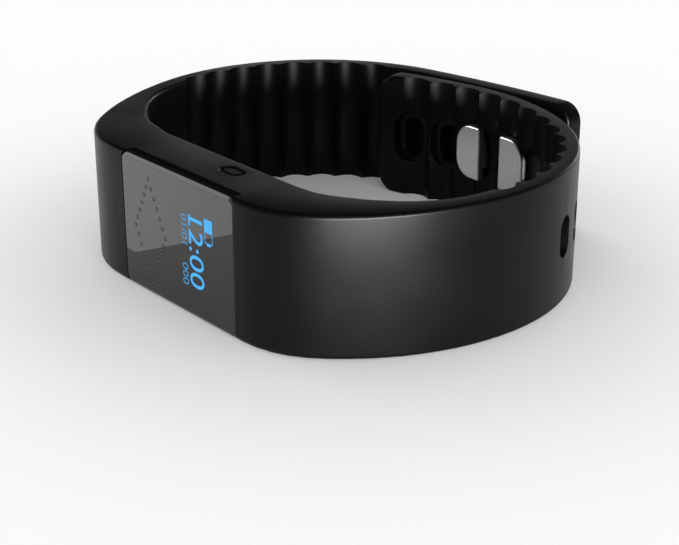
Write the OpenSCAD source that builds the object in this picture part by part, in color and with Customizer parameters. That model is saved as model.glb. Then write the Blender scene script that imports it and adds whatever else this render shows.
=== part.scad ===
// Fitness tracker band: a display module in a silicone sleeve, with a fluted
// buckle strap and a fluted hole strap closed by a two-stud clasp.
// Millimetres. The band lies on its side: +Z runs across its width, the lens
// looks along -Y, and the origin is the middle of its footprint on the table.

/* [Band] */
// Width of the band
band_w = 20; // [19:0.5:26]
// Thickness of the straps over the ribs
strap_t = 3.2; // [2.8:0.1:4.2]
// Thickness of the band at the module
module_t = 10; // [9.4:0.1:12]
// Radius of the corners at both strap ends, seen from outside
end_r = 3; // [1:0.5:6]
// Clearance where a strap meets the sleeve
seam_gap = 0.06; // [0.04:0.01:0.3]

/* [Hole strap] */
// Straight run beside the lens before the first bend
hole_lead = 1.1; // [0.5:0.1:4]
// Radius of the tight bend beside the lens
hole_corner_r = 14.7; // [13:0.1:18]
// Radius of the bend round the side of the wrist
hole_side_r = 35.3; // [32:0.1:42]
// Radius of the bend towards the back of the wrist
hole_back_r = 30.7; // [28:0.1:36]
// Radius of the bend under the clasp
hole_clasp_r = 36.9; // [33:0.1:42]
// Radius of the nearly flat tail
hole_tail_r = 90; // [70:1:120]
// Length of that tail
hole_tail_run = 15; // [13:0.5:18]
// Distance from the lens at which the strap has thinned down
hole_taper = 35.5; // [32:0.5:38]

/* [Buckle strap] */
// Straight run beside the lens before the first bend
buckle_lead = 2.1; // [1:0.1:5]
// Radius of the bend beside the lens
buckle_corner_r = 18.5; // [17:0.1:22]
// Inside radius of the flat bend round the side of the wrist
buckle_side_r = 48.2; // [44:0.1:58]
// Inside radius of the bend round the back of the wrist
buckle_back_r = 26.4; // [24.5:0.1:32]
// Inside radius of the nearly flat end that carries the clasp
buckle_tail_r = 190.8; // [150:0.2:260]
// Length of that end
buckle_tail_run = 30.5; // [26:0.5:36]
// Distance from the lens at which the strap has thinned down
buckle_taper = 35.5; // [32:0.5:38]

/* [Ribs and holes] */
// Distance from one rib to the next along the outside of the strap
rib_pitch = 5.15; // [4.4:0.05:6]
// Height of the ribs
rib_h = 1.3; // [0.6:0.1:1.5]
// Number of adjusting holes
hole_count = 9; // [6:1:10]
// Distance from one adjusting hole to the next
hole_pitch = 7; // [6.4:0.1:8.4]
// Width of an adjusting hole
hole_w = 3.6; // [3.4:0.1:4.4]
// Height of an adjusting hole
hole_h = 6.2; // [5.8:0.1:7.5]
// Width of the shallow ring round an adjusting hole
ring_w = 6; // [5.4:0.1:6.2]
// Depth of that ring
ring_depth = 0.7; // [0.3:0.1:1]

/* [Lens and display] */
// Width of the front lens
lens_w = 26.5; // [24:0.5:32]
// Thickness of the front lens
lens_t = 1; // [0.7:0.1:1.4]
// Thickness of the black frame behind the lens
lens_frame_t = 1; // [0.8:0.1:1.4]
// Corner radius of the lens
lens_corner_r = 1.2; // [0.6:0.1:2.5]
// Width of the display panel along the band
display_w = 11; // [9:0.5:12.5]
// Height of the display panel across the band
display_h = 15; // [12:0.5:15.5]
// Thickness of the display panel
display_t = 1.3; // [1:0.1:1.4]

/* [Module] */
// Length of the rigid core inside the sleeve
core_l = 33; // [32:0.5:36]
// Silicone left above and below the core
sleeve_wall = 1.6; // [1.2:0.1:2]
// Wall of the core housing
core_wall = 0.8; // [0.6:0.1:1]
// Thickness of the circuit board
board_t = 0.8; // [0.6:0.1:1]
// Length of the battery cell along the band
battery_l = 15.4; // [12:0.2:15.6]
// Diameter of the vibration motor
motor_d = 3; // [2.4:0.1:3.2]
// Radius of the motor shaft
shaft_r = 0.4; // [0.3:0.05:0.5]
// Radial clearance of the motor shaft and of the key stem
run_clear = 0.04; // [0.02:0.01:0.08]

/* [Side key] */
// Distance of the side key from the middle of the lens
key_x = 4.3; // [3.9:0.1:5.2]
// Length of the side key
key_l = 3.4; // [2.8:0.1:4]
// Width of the side key
key_wd = 1.7; // [1.4:0.1:2]
// Travel of the side key
key_travel = 0.35; // [0.2:0.05:0.4]
// Radius of the key's stem
key_stem_r = 0.5; // [0.4:0.05:0.6]

/* [Clasp] */
// Width of a stud head
head_w = 5.3; // [4.5:0.1:5.6]
// Height of a stud head
head_h = 8.7; // [8:0.1:10]
// Radius of the two outer corners of a stud head
head_corner_r = 3.2; // [2:0.1:3.8]
// Thickness of a stud head
head_t = 1.3; // [1:0.1:1.6]
// Width of a stud's post
post_w = 2.3; // [1.8:0.1:2.4]
// Height of a stud's post
post_h = 5; // [4.4:0.1:5]
// How far the heads sink into the ribs of the strap they hold
head_sink = 0.65; // [0.3:0.05:0.9]
// Clearance between the heads and their seats in that strap
head_clear = 0.1; // [0.05:0.05:0.3]
// Length of the clasp plate
plate_l = 14; // [12:0.5:16]
// Height of the clasp plate
plate_h = 11; // [9:0.5:13]
// Thickness of the clasp plate
plate_t = 0.8; // [0.6:0.1:1.2]

/* [Hidden] */
$fn = 48;
eps = 0.01;
fit = 0.05;          // gap left round pieces that drop into a pocket
step = 3;            // angle between two points of a bend
first_hole = 6;      // strap tip to the middle of the first hole
worn_hole = 2;       // holes left free between the tip and the clasp
// where each strap starts to thin, and how far past its bend it flexes
hole_thin_from = 3;
buckle_thin_from = 7;
hole_flex_run = 15;
buckle_flex_run = 12;
// plain lengths left at the start and the end of the ribs
hole_rib_start = 2;
hole_rib_end = 4.7;
buckle_rib_start = 7.9;
buckle_rib_end = 1;
flute_share = 0.9;   // part of the pitch that a flute takes up
post_play = 0.2;     // how much nearer the posts stand than the holes

// A strap's outer line is a list of [radius, turn] bends; radius 0 is a straight
// run and its second value is a length.
hole_line = [[0, hole_lead], [hole_corner_r, 45.2], [hole_side_r, 53.9], [hole_back_r, 42.5],
  [hole_clasp_r, 49.9], [hole_tail_r, bend_angle(hole_tail_run, hole_tail_r)]];
// the buckle strap passes outside the other one, so its bends grow with the thickness
buckle_line = [[0, buckle_lead], [buckle_corner_r, 49.3], [buckle_side_r + strap_t, 24.6],
  [buckle_back_r + strap_t, 94.4],
  [buckle_tail_r + strap_t, bend_angle(buckle_tail_run, buckle_tail_r + strap_t)]];

function bend_angle(l, r) = l / r * 180 / PI;
function run_length(r) = r[0] == 0 ? r[1] : r[0] * r[1] * PI / 180;
function line_length(line, i = 0) =
  i < len(line) ? run_length(line[i]) + line_length(line, i + 1) : 0;

// [x, y, heading] after travelling d along one run from a
function along(a, r, d) = r[0] == 0
  ? [a[0] + d * cos(a[2]), a[1] + d * sin(a[2]), a[2]]
  : let (turn = d / r[0] * 180 / PI)
    [a[0] + r[0] * (sin(a[2] + turn) - sin(a[2])),
     a[1] + r[0] * (cos(a[2]) - cos(a[2] + turn)), a[2] + turn];

// [x, y, heading] at distance s along a line that starts beside the lens
function at(line, s, i = 0, a = [lens_w / 2, 0, 0]) =
  let (l = run_length(line[i]))
  s <= l || i == len(line) - 1 ? along(a, line[i], s)
    : at(line, s - l, i + 1, along(a, line[i], l));

// distance along a line at which its first n runs end
function ends(line, n) = n == 0 ? 0 : run_length(line[n - 1]) + ends(line, n - 1);

// distances at which a strap's outline has a point, from s0 to s1
function stops(line, s0, s1) = concat([s0],
  [for (i = [0 : len(line) - 1])
    let (a = ends(line, i), l = run_length(line[i]),
         n = line[i][0] == 0 ? 4 : ceil(line[i][1] / step))
    for (k = [0 : n]) let (s = a + l * k / n) if (s > s0 + 0.2 && s < s1 - 0.2) s], [s1]);

function taper(s, from, to) = strap_t + (module_t - strap_t)
  * (1 + cos(180 * min(1, max(0, (s - from) / (to - from))))) / 2;
function thickness(line, s) = line == hole_line ? taper(s, hole_thin_from, hole_taper)
  : taper(s, buckle_thin_from, buckle_taper);

// the point that lies n inside the outer line at distance s
function inside(line, s, n) = let (p = at(line, s))
  [p[0] - n * sin(p[2]), p[1] + n * cos(p[2])];

hole_end = line_length(hole_line);
buckle_end = line_length(buckle_line);
// the straps flex just past the tight bends, where they have thinned
hole_flex = ends(hole_line, 2) + hole_flex_run;
buckle_flex = ends(buckle_line, 2) + buckle_flex_run;

function hole_at(i) = hole_end - first_hole - i * hole_pitch;
clasp_at = (hole_at(worn_hole) + hole_at(worn_hole + 1)) / 2;
clasp_x = at(hole_line, clasp_at)[0];
// the plate's middle on the buckle strap, straight behind the studs
buckle_tip = at(buckle_line, buckle_end);
plate_at = buckle_end - (clasp_x + buckle_tip[0]) / cos(buckle_tip[2]);

// the footprint's middle, found from the same outline points
hole_x = [for (s = stops(hole_line, 0, hole_end)) at(hole_line, s)[0]];
buckle_pts = [for (s = stops(buckle_line, 0, buckle_end)) at(buckle_line, s)];
buckle_x = [for (p = buckle_pts) p[0]];
buckle_y = [for (p = buckle_pts) p[1]];
middle = [(max(hole_x) - max(buckle_x)) / 2, max(buckle_y) / 2, 0];

// levels across the module, from the lens inwards
frame_y = lens_t;
core_y = lens_t + lens_frame_t;
front_wall = 0.6;
flange_t = 0.8;
pad_t = 1.2;         // how far the cover stands through the sleeve
flange_y = module_t - pad_t - flange_t;
cover_y = module_t - pad_t;
board_y = core_y + front_wall + 0.15;
parts_y = board_y + board_t;
mid = band_w / 2;
core_h = band_w - 2 * sleeve_wall;
pocket_l = core_l - 2 * core_wall;
pocket_h = core_h - 2 * core_wall;
boss = 2.6;          // side of the four screw bosses
window_l = core_l - 4;
window_h = core_h - 2.8;
board_l = core_l - 2 * boss - 0.4;
board_h = pocket_h - 1.2;
display_x = 5;
touch_x = -6.8;
touch_l = 9.6;
switch_top = band_w - sleeve_wall - core_wall - 1.05;
key_y = flange_y - 1.45;
motor_x = 11;
motor_y = parts_y + 0.35 + motor_d / 2;
motor_z = sleeve_wall + core_wall + 2.4;
motor_len = 8;
weight_len = 2.6;
battery_x = -board_l / 2 + 0.2;
chip_t = 0.7;
flex_t = 0.12;

module seat() translate(-middle) children();
module buckle_side() mirror([1, 0, 0]) children();

// puts a child at distance s along a line: X along the strap, Y inwards
module on_line(line, s) {
  p = at(line, s);
  translate([p[0], p[1], 0]) rotate([0, 0, p[2]]) children();
}

// a box given by its two corners
module block(a, b) translate(a) cube(b - a);

// a slot with round ends, standing on Z and cut along +Y from y0 to y1
module upright_slot(w, h, y0, y1) translate([0, y0, mid]) rotate([-90, 0, 0])
  linear_extrude(y1 - y0) {
    square([w, h - w], center = true);
    for (z = [-1, 1]) translate([0, z * (h - w) / 2]) circle(d = w);
  }

// one strap's solid from s0 to s1, before ribs and holes are cut
module strap_run(line, s0, s1) linear_extrude(band_w)
  polygon(concat([for (s = stops(line, s0, s1)) inside(line, s, 0)],
    [for (s = reverse(stops(line, s0, s1))) inside(line, s, thickness(line, s))]));
function reverse(v) = [for (i = [len(v) - 1 : -1 : 0]) v[i]];

// the stretch of the buckle strap that the other strap lies on has no ribs
lap_l = first_hole + (worn_hole + 0.5) * hole_pitch;

// concave flutes cut down the inner face, leaving ribs between them
flute_r = (pow(rib_pitch * flute_share / 2, 2) + pow(rib_h, 2)) / (2 * rib_h);
module flutes(line, s0, s1) for (s = [s0 : rib_pitch : s1]) on_line(line, s)
  translate([0, thickness(line, s) - rib_h + flute_r, -1]) cylinder(r = flute_r, h = band_w + 2);

// rounds a strap's end as it is seen from outside
module end_rounding(line, s, r) for (side = [0, 1]) on_line(line, s)
  translate([0, 0, side * band_w]) mirror([0, 0, side]) difference() {
    translate([-r, -1, -1]) cube([r + 1, strap_t + 2, r + 1]);
    translate([-r, -2, r]) rotate([-90, 0, 0]) cylinder(r = r, h = strap_t + 4);
  }

// ---- silicone ----
module band_sleeve() seat() color([0.13, 0.13, 0.135]) difference() {
  union() {
    block([-lens_w / 2 - eps, 0, 0], [lens_w / 2 + eps, module_t, band_w]);
    strap_run(hole_line, 0, hole_flex - seam_gap);
    buckle_side() strap_run(buckle_line, 0, buckle_flex - seam_gap);
  }
  translate([0, -1, 0]) lens_shape(core_y + 1, fit);
  block([-core_l / 2 - fit, core_y - eps, sleeve_wall - fit],
    [core_l / 2 + fit, cover_y + fit, band_w - sleeve_wall + fit]);
  block([-window_l / 2 - fit, core_y, mid - window_h / 2 - fit],
    [window_l / 2 + fit, module_t + 1, mid + window_h / 2 + fit]);
  translate([key_x, key_y, mid]) key_prism(run_clear + fit, band_w);
}

hole_ribs = floor((hole_end - hole_rib_end - hole_taper - hole_rib_start) / rib_pitch - 0.5);
module hole_strap() seat() color([0.12, 0.12, 0.125]) difference() {
  strap_run(hole_line, hole_flex, hole_end);
  flutes(hole_line, hole_end - hole_rib_end - rib_pitch * (0.5 + hole_ribs), hole_end - hole_rib_end);
  for (side = [0, 1]) at_stud(side) head(head_clear, strap_t);
  for (i = [0 : hole_count - 1]) on_line(hole_line, hole_at(i)) {
    upright_slot(hole_w, hole_h, -1, strap_t + 1);
    upright_slot(ring_w, hole_h + ring_w - hole_w, strap_t - rib_h / 2 - ring_depth, strap_t + 1);
  }
  end_rounding(hole_line, hole_end, end_r);
}

module buckle_strap() seat() color([0.12, 0.12, 0.125]) difference() {
  buckle_side() strap_run(buckle_line, buckle_flex, buckle_end);
  buckle_side()
    flutes(buckle_line, buckle_taper + buckle_rib_start, plate_at - lap_l - buckle_rib_end);
  plate_place() plate_solid(fit);
  buckle_side() end_rounding(buckle_line, buckle_end, end_r);
}

// ---- lens and display ----
module lens_shape(t, extra = 0) rotate([90, 0, 0]) translate([0, mid, -t])
  linear_extrude(t) offset(delta = extra) union() {
  square([lens_w - 2 * lens_corner_r, band_w], center = true);
  square([lens_w, band_w - 2 * lens_corner_r], center = true);
  for (x = [-1, 1], z = [-1, 1])
    translate([x * (lens_w / 2 - lens_corner_r), z * (mid - lens_corner_r)])
      circle(r = lens_corner_r);
}

module front_lens() seat() color([0.2, 0.21, 0.22]) lens_shape(lens_t);

module lens_frame() seat() color([0.02, 0.02, 0.02]) difference() {
  translate([0, frame_y, 0]) lens_shape(lens_frame_t);
  block([display_x - display_w / 2 - fit, 0, mid - display_h / 2 - fit],
    [display_x + display_w / 2 + fit, core_y + 1, mid + display_h / 2 + fit]);
  block([touch_x - touch_l / 2 - fit, 0, mid - display_h / 2 - fit],
    [touch_x + touch_l / 2 + fit, frame_y + 0.3, mid + display_h / 2 + fit]);
}

module touch_electrode() seat() color([0.75, 0.5, 0.2])
  block([touch_x - touch_l / 2, frame_y + 0.05, mid - display_h / 2],
    [touch_x + touch_l / 2, frame_y + 0.25, mid + display_h / 2]);

module display_panel() seat() color([0.03, 0.08, 0.14])
  block([display_x - display_w / 2, frame_y + 0.05, mid - display_h / 2],
    [display_x + display_w / 2, frame_y + 0.05 + display_t, mid + display_h / 2]);

module display_pad() seat() color([0.3, 0.3, 0.3])
  block([display_x - display_w / 2 + 0.6, frame_y + 0.1 + display_t, mid - display_h / 2 + 3],
    [display_x + display_w / 2 - 0.6, board_y - fit, mid + display_h / 2 - 0.6]);

// ribbon that leaves the panel's lower edge and turns back to the board
module display_flex() seat() color([0.7, 0.42, 0.12]) {
  z0 = mid - display_h / 2 + 0.4;
  top = frame_y + 0.05 + display_t + fit;
  block([display_x - 2.5, top, z0], [display_x + 2.5, top + flex_t, z0 + 2]);
  block([display_x - 2.5, top, z0], [display_x + 2.5, board_y - fit, z0 + flex_t]);
}

// ---- rigid core ----
module screw_spots() for (x = [-1, 1], z = [-1, 1])
  translate([x * (core_l / 2 - boss / 2), 0, mid + z * (core_h / 2 - boss / 2)]) children();

module core_housing() seat() color([0.16, 0.16, 0.17]) difference() {
  block([-core_l / 2, core_y, sleeve_wall], [core_l / 2, flange_y - fit, band_w - sleeve_wall]);
  difference() {
    block([-pocket_l / 2, core_y + front_wall, mid - pocket_h / 2],
      [pocket_l / 2, flange_y + 1, mid + pocket_h / 2]);
    screw_spots() translate([-boss / 2, 0, -boss / 2]) cube([boss, flange_y, boss]);
  }
  block([display_x - display_w / 2 - fit, 0, mid - display_h / 2 - fit],
    [display_x + display_w / 2 + fit, board_y, mid + display_h / 2 + fit]);
  seal_ring(fit);
  screw_spots() translate([0, core_y + 1.5, 0]) rotate([-90, 0, 0]) cylinder(r = 0.5, h = 20);
  translate([key_x, key_y, mid]) cylinder(r = key_stem_r + run_clear, h = band_w);
  translate([key_x, key_y, band_w - sleeve_wall - 0.45])
    cylinder(r = key_stem_r + 0.45, h = band_w);
}

// gasket that lies in a groove round the housing's rim
module seal_ring(extra) difference() {
  block([-pocket_l / 2 - 0.5 - extra, flange_y - 0.35 - extra, mid - pocket_h / 2 - 0.5 - extra],
    [pocket_l / 2 + 0.5 + extra, flange_y - fit, mid + pocket_h / 2 + 0.5 + extra]);
  block([-pocket_l / 2 - 0.2 + extra, 0, mid - pocket_h / 2 - 0.2 + extra],
    [pocket_l / 2 + 0.2 - extra, 20, mid + pocket_h / 2 + 0.2 - extra]);
}
module cover_seal() seat() color([0.75, 0.2, 0.15]) seal_ring(0);

module rear_cover() seat() color([0.15, 0.15, 0.16]) difference() {
  union() {
    block([-core_l / 2, flange_y, sleeve_wall], [core_l / 2, cover_y, band_w - sleeve_wall]);
    block([-window_l / 2, cover_y - eps, mid - window_h / 2],
      [window_l / 2, module_t, mid + window_h / 2]);
  }
  screw_spots() rotate([-90, 0, 0]) {
    cylinder(r = 0.6, h = 20);
    translate([0, 0, flange_y + 0.35]) cylinder(r = 1.05, h = 20);
  }
  charge_spots() rotate([-90, 0, 0]) {
    cylinder(r = 0.55, h = 20);
    translate([0, 0, module_t - 0.4]) cylinder(r = 1.25, h = 2);
  }
}

module cover_screws() seat() color([0.7, 0.7, 0.72]) screw_spots() rotate([-90, 0, 0])
  difference() {
    union() {
      translate([0, 0, flange_y - 2.6]) cylinder(r = 0.48, h = 3);
      translate([0, 0, flange_y + 0.37]) cylinder(r = 0.95, h = 0.4);
    }
    translate([0, 0, cover_y - 0.2]) cube([1.2, 0.25, 1], center = true);
  }

module charge_spots() for (i = [-1, 1]) translate([i * 3.5, 0, mid]) children();
module charge_contacts() seat() color([0.85, 0.68, 0.3]) charge_spots() rotate([-90, 0, 0]) {
  translate([0, 0, flange_y - 0.05]) cylinder(r = 0.5, h = module_t - flange_y);
  translate([0, 0, module_t - 0.38]) cylinder(r = 1.2, h = 0.38);
}

// ---- electronics ----
module main_board() seat() color([0.08, 0.25, 0.14])
  block([-board_l / 2, board_y, mid - board_h / 2], [board_l / 2, parts_y, mid + board_h / 2]);

// a chip on the board: corner x and z from the board's lower left, then its size
module chip(x, z, l, h, t = chip_t) translate([-board_l / 2 + x, parts_y, mid - board_h / 2 + z])
  cube([l, t, h]);
module radio_chip() seat() color([0.1, 0.1, 0.1]) chip(board_l - 9.2, 1, 4, 4);
module memory_chip() seat() color([0.1, 0.1, 0.1]) chip(2, 1.2, 3.2, 2.6);
module motion_sensor() seat() color([0.12, 0.12, 0.12]) chip(8, 1.2, 2, 2);
module clock_crystal() seat() color([0.75, 0.75, 0.78]) chip(board_l - 9.2, 6, 3.2, 1.5);
module radio_antenna() seat() color([0.85, 0.85, 0.8]) chip(board_l - 1.3, board_h - 7.2, 1, 6.4);

module battery_cell() seat() color([0.7, 0.72, 0.74])
  block([battery_x, parts_y + chip_t + 0.35, mid - board_h / 2 + 1],
    [battery_x + battery_l, flange_y - 0.1, mid + board_h / 2 - 1.5]);
module battery_tape() seat() color([0.85, 0.8, 0.55])
  block([battery_x + 1, parts_y + chip_t + 0.05, mid - board_h / 2 + 2],
    [battery_x + battery_l - 1, parts_y + chip_t + 0.3, mid + board_h / 2 - 3]);
module battery_tabs() seat() color([0.8, 0.8, 0.82]) for (i = [0, 1])
  translate([battery_x + 3 + i * 5, parts_y, mid + board_h / 2 - 1.5 + fit])
    cube([2, chip_t + 1, 0.15]);

// ---- vibration motor ----
module on_motor(z) translate([motor_x, motor_y, z]) children();
module motor_can() seat() color([0.72, 0.72, 0.74]) on_motor(motor_z) difference() {
  cylinder(d = motor_d, h = motor_len);
  translate([0, 0, 2]) cylinder(r = shaft_r + run_clear, h = motor_len);
}
module motor_boot() seat() color([0.2, 0.2, 0.2]) on_motor(motor_z) difference() {
  translate([0, 0, motor_len / 2 - 1.5]) cylinder(d = motor_d + 0.5, h = 3);
  cylinder(d = motor_d, h = motor_len);
}
module motor_shaft() seat() color([0.6, 0.6, 0.62])
  on_motor(motor_z + 2 + fit) cylinder(r = shaft_r, h = motor_len - 2 + weight_len + 0.3);
module motor_weight() seat() color([0.55, 0.53, 0.5])
  on_motor(motor_z + motor_len + 0.3) difference() {
    cylinder(d = motor_d - 0.2, h = weight_len);
    translate([-motor_d, -motor_d - shaft_r - 0.25, -1]) cube([2 * motor_d, motor_d, weight_len + 2]);
    translate([0, 0, -1]) cylinder(r = shaft_r, h = weight_len + 2);
  }

// ---- side key and its switch ----
module key_prism(extra, h) linear_extrude(h) {
  square([key_l - key_wd, key_wd + 2 * extra], center = true);
  for (x = [-1, 1]) translate([x * (key_l - key_wd) / 2, 0]) circle(d = key_wd + 2 * extra);
}
switch_y = key_y - 1.05;
dome_z = switch_top - 0.6;
module switch_body() seat() color([0.75, 0.75, 0.7]) difference() {
  block([key_x - 1.9, switch_y, switch_top - 1.5], [key_x + 1.9, flange_y - 0.1, switch_top]);
  translate([key_x, key_y, dome_z - 0.55]) cylinder(r = 0.8, h = 0.6);
  translate([key_x, key_y, dome_z - 0.4]) cylinder(r = 0.5 + run_clear, h = 5);
}
module switch_dome() seat() color([0.8, 0.75, 0.5])
  translate([key_x, key_y, dome_z - 0.2]) cylinder(r = 0.75, h = 0.12);
module switch_plunger() seat() color([0.9, 0.9, 0.88])
  translate([key_x, key_y, dome_z - 0.05]) cylinder(r = 0.5, h = switch_top - dome_z + 0.45);
module side_key() seat() color([0.1, 0.1, 0.105]) translate([key_x, key_y, 0]) {
  translate([0, 0, band_w - sleeve_wall + key_travel + 0.1])
    key_prism(0, sleeve_wall - key_travel - 0.1);
  translate([0, 0, switch_top + 0.4])
    cylinder(r = key_stem_r, h = band_w - 0.3 - switch_top - 0.4);
}
module key_seal() seat() color([0.25, 0.25, 0.25])
  translate([key_x, key_y, band_w - sleeve_wall - 0.4]) difference() {
    cylinder(r = key_stem_r + 0.4, h = 0.35);
    translate([0, 0, -1]) cylinder(r = key_stem_r + run_clear, h = 3);
  }

// ---- clasp ----
// the plate lies flush in the buckle strap's inner face, behind the studs
module plate_place() buckle_side() on_line(buckle_line, plate_at) children();
module plate_solid(extra) translate([-plate_l / 2 - extra, strap_t - plate_t - extra,
  mid - plate_h / 2 - extra])
  cube([plate_l + 2 * extra, plate_t + extra * 30, plate_h + 2 * extra]);

// studs stand square to the hole strap, in two of its holes, and their heads
// sink into seats in its inner face
module at_clasp() on_line(hole_line, clasp_at) children();
// both posts stand in their holes, with the heads' flat sides over the posts
head_gap = hole_pitch - post_w - post_play;
head_n = strap_t - head_sink;
post_reach = 4;
module post(extra) translate([-post_w / 2 - extra, -post_reach, mid - post_h / 2 - extra])
  cube([post_w + 2 * extra, post_reach + head_n + eps, post_h + 2 * extra]);
// a head's outline: flat towards the other stud, its two outer corners rounded
module head_outline() {
  translate([head_corner_r - head_w, -head_h / 2]) square([head_w - head_corner_r, head_h]);
  translate([-head_w, head_corner_r - head_h / 2]) square([head_w, head_h - 2 * head_corner_r]);
  for (z = [-1, 1]) translate([head_corner_r - head_w, z * (head_h / 2 - head_corner_r)])
    circle(r = head_corner_r);
}
module head(extra = 0, t = head_t) translate([post_w / 2, head_n - extra, mid])
  rotate([-90, 0, 0]) linear_extrude(t + extra) offset(delta = extra) head_outline();
// the part of the band's outside that lies behind the clasp plate
module behind_plate() plate_place()
  translate([-plate_l, strap_t - plate_t - 10, 0]) cube([2 * plate_l, 10, band_w]);
module at_stud(side) at_clasp() mirror([side == 1 ? 1 : 0, 0, 0])
  translate([-(head_gap + post_w) / 2, 0, 0]) children();
module clasp_plate() seat() color([0.6, 0.6, 0.62]) difference() {
  plate_place() plate_solid(0);
  for (side = [0, 1]) at_stud(side) post(0.02);
}
module stud(side) seat() color([0.66, 0.66, 0.68]) {
  difference() {
    at_stud(side) post(0);
    behind_plate();
  }
  at_stud(side) head();
}
module left_stud() stud(1);
module right_stud() stud(0);

band_sleeve();
hole_strap();
buckle_strap();
front_lens();
lens_frame();
touch_electrode();
display_panel();
display_pad();
display_flex();
core_housing();
rear_cover();
cover_seal();
cover_screws();
charge_contacts();
main_board();
radio_chip();
memory_chip();
motion_sensor();
clock_crystal();
radio_antenna();
battery_cell();
battery_tape();
battery_tabs();
motor_can();
motor_boot();
motor_shaft();
motor_weight();
switch_body();
switch_dome();
switch_plunger();
side_key();
key_seal();
clasp_plate();
left_stud();
right_stud();
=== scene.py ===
import bpy
import bmesh
from math import cos, pi, radians, sin
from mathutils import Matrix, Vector


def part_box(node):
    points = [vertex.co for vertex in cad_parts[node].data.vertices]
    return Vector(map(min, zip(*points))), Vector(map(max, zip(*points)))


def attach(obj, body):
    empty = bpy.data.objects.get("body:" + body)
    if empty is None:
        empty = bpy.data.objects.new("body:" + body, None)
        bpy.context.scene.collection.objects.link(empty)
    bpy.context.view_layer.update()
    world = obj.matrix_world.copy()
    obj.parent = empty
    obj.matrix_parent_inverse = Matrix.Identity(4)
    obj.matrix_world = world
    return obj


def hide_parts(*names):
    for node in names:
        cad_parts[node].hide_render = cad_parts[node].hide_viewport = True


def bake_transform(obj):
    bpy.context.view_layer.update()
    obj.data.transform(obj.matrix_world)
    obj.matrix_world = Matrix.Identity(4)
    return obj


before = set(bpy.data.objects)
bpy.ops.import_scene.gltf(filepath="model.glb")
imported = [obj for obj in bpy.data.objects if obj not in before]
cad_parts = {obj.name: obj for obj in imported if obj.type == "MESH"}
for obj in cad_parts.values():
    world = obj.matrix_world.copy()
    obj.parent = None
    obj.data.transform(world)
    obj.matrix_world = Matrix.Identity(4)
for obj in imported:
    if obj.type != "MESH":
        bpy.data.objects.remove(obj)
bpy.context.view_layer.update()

# the frame, the lights and the camera are in metres, the band's own sizes in millimetres
mm = 0.001
# two places this close count as one
CLOSE = 0.01

# ---------------------------------------------------------------- the band's plan
BAND_W = 20.0
STRAP_T = 3.2
MODULE_T = 10.0
LENS_W = 26.5
RIB_H = 1.3
RIB_PITCH = 5.15
HOLE_PITCH = 7.0
# the outer line of each strap from the lens's edge, run by run: the radius and the degrees
# it turns, or 0 and a length where it is straight
HOLE_LINE = [(0, 1.1), (14.7, 45.2), (35.3, 53.9), (30.7, 42.5), (36.9, 49.9),
             (90, 15 / 90 * 180 / pi)]
BUCKLE_LINE = [(0, 2.1), (18.5, 49.3), (51.4, 24.6), (29.6, 94.4),
               (194, 30.5 / 194 * 180 / pi)]

# the lens's box gives the place of the plan's own origin
lens_low, lens_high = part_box("front_lens")
PLAN_X = (lens_low.x + lens_high.x) / 2 / mm
PLAN_Y = lens_low.y / mm
MID = BAND_W / 2


def run_length(run):
    return run[1] if run[0] == 0 else run[0] * run[1] * pi / 180


def line_length(line):
    return sum(run_length(run) for run in line)


def on_line(line, s):
    """x, y and heading in radians at distance s from the lens's edge."""
    x, y, turn = LENS_W / 2, 0.0, 0.0
    for i, run in enumerate(line):
        radius, length = run[0], run_length(run)
        d = s if i == len(line) - 1 else min(s, length)
        if radius == 0:
            x, y = x + d * cos(turn), y + d * sin(turn)
        else:
            a = d / radius
            x += radius * (sin(turn + a) - sin(turn))
            y += radius * (cos(turn) - cos(turn + a))
            turn += a
        s -= length
        if s <= 0:
            break
    return x, y, turn


HOLE_END = line_length(HOLE_LINE)
BUCKLE_END = line_length(BUCKLE_LINE)
# the whole band measured along its outer face, from the buckle end to the hole end
BAND_L = BUCKLE_END + LENS_W + HOLE_END
LENS_AT = BUCKLE_END + LENS_W / 2
HOLE_ZERO = BUCKLE_END + LENS_W


# where each strap starts and ends thinning, from the lens's edge
HOLE_TAPER = (3.0, 35.5)
BUCKLE_TAPER = (7.0, 35.5)


def thickness(x):
    """Thickness of the band at distance x from its buckle end."""
    if x > HOLE_ZERO:
        s, (start, end) = x - HOLE_ZERO, HOLE_TAPER
    elif x < BUCKLE_END:
        s, (start, end) = BUCKLE_END - x, BUCKLE_TAPER
    else:
        return MODULE_T
    share = min(1.0, max(0.0, (s - start) / (end - start)))
    return STRAP_T + (MODULE_T - STRAP_T) * (1 + cos(pi * share)) / 2


# two places on the straps, a little past the tight bends, from which the cuts are measured
HOLE_FLEX = sum(run_length(run) for run in HOLE_LINE[:2]) + 15
BUCKLE_FLEX = sum(run_length(run) for run in BUCKLE_LINE[:2]) + 12
HOLES_AT = [HOLE_END - 6 - i * HOLE_PITCH for i in range(9)]
# the studs stand in the third and the fourth hole from the tip
CLASP_AT = (HOLES_AT[2] + HOLES_AT[3]) / 2
clasp_x, clasp_y, clasp_turn = on_line(HOLE_LINE, CLASP_AT)
tip_x, _, tip_turn = on_line(BUCKLE_LINE, BUCKLE_END)
# the clasp's plate lies in the buckle strap's tail, level with the studs
PLATE_AT = BUCKLE_END - (clasp_x + tip_x) / cos(tip_turn)


# ---------------------------------------------------------------- shop tools
def clear_selection():
    if bpy.context.object and bpy.context.object.mode != "OBJECT":
        bpy.ops.object.mode_set(mode="OBJECT")
    bpy.ops.object.select_all(action="DESELECT")


def take(piece):
    clear_selection()
    piece.select_set(True)
    bpy.context.view_layer.objects.active = piece


def settle(piece):
    """Puts a piece's place, turn and size into its mesh."""
    take(piece)
    bpy.ops.object.transform_apply(location=True, rotation=True, scale=True)
    return piece


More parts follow.
